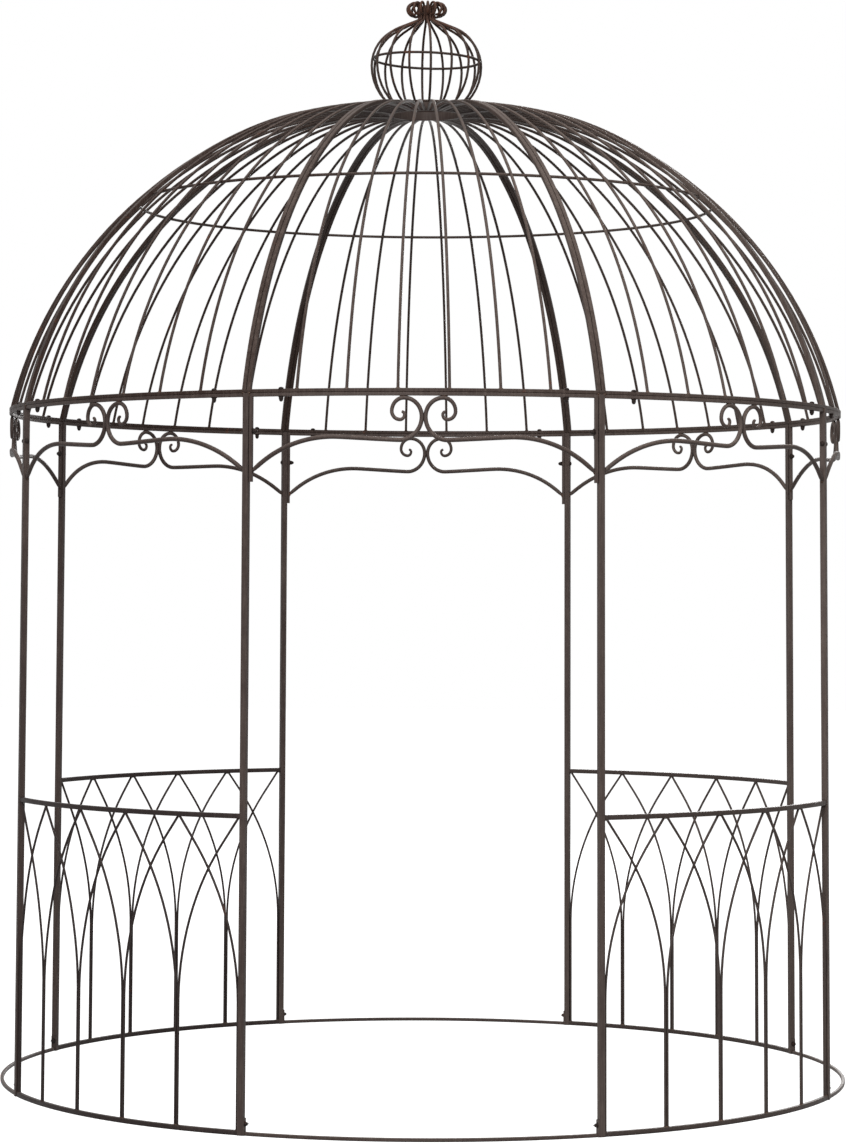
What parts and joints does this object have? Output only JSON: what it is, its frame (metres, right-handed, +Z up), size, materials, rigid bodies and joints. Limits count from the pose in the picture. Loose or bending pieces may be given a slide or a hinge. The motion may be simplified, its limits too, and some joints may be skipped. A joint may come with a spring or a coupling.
{
  "type": "garden gazebo",
  "caption": "Round birdcage garden gazebo of dark metal: posts, open bays with scroll brackets, low lattice panels, and a caged dome with an onion finial.",
  "frame": {"origin": "on the ground, under the crown", "axes": "+Z up; -Y towards the front opening; +X to the right seen from the front"},
  "size_m": [2.486, 2.486, 3.192],
  "materials": {
    "frame_paint": "satin, dark brown with rubbed taupe edges",
    "scroll_paint": "satin, taupe over dark brown",
    "dome_paint": "satin, dark brown with rusty red patches"
  },
  "bodies": {
    "root": {"post_front_left": "frame_paint", "post_front_right": "frame_paint", "post_right_front": "frame_paint", "post_right_back": "frame_paint", "post_back_right": "frame_paint", "post_back_left": "frame_paint", "post_left_back": "frame_paint", "post_left_front": "frame_paint", "panel_front_right": "frame_paint", "panel_back_right": "frame_paint", "panel_back_left": "frame_paint", "panel_front_left": "frame_paint", "sill_front": "frame_paint", "sill_right": "frame_paint", "sill_back": "frame_paint", "sill_left": "frame_paint", "head_rail_front": "frame_paint", "head_rail_front_right": "frame_paint", "head_rail_right": "frame_paint", "head_rail_back_right": "frame_paint", "head_rail_back": "frame_paint", "head_rail_back_left": "frame_paint", "head_rail_left": "frame_paint", "head_rail_front_left": "frame_paint", "scroll_front": "scroll_paint", "scroll_front_right": "scroll_paint", "scroll_right": "scroll_paint", "scroll_back_right": "scroll_paint", "scroll_back": "scroll_paint", "scroll_back_left": "scroll_paint", "scroll_left": "scroll_paint", "scroll_front_left": "scroll_paint", "dome_segment_front": "dome_paint", "dome_segment_front_right": "dome_paint", "dome_segment_right": "dome_paint", "dome_segment_back_right": "dome_paint", "dome_segment_back": "dome_paint", "dome_segment_back_left": "dome_paint", "dome_segment_left": "dome_paint", "dome_segment_front_left": "dome_paint", "crown_hub": "frame_paint", "finial": "dome_paint"}
  },
  "joints": []
}
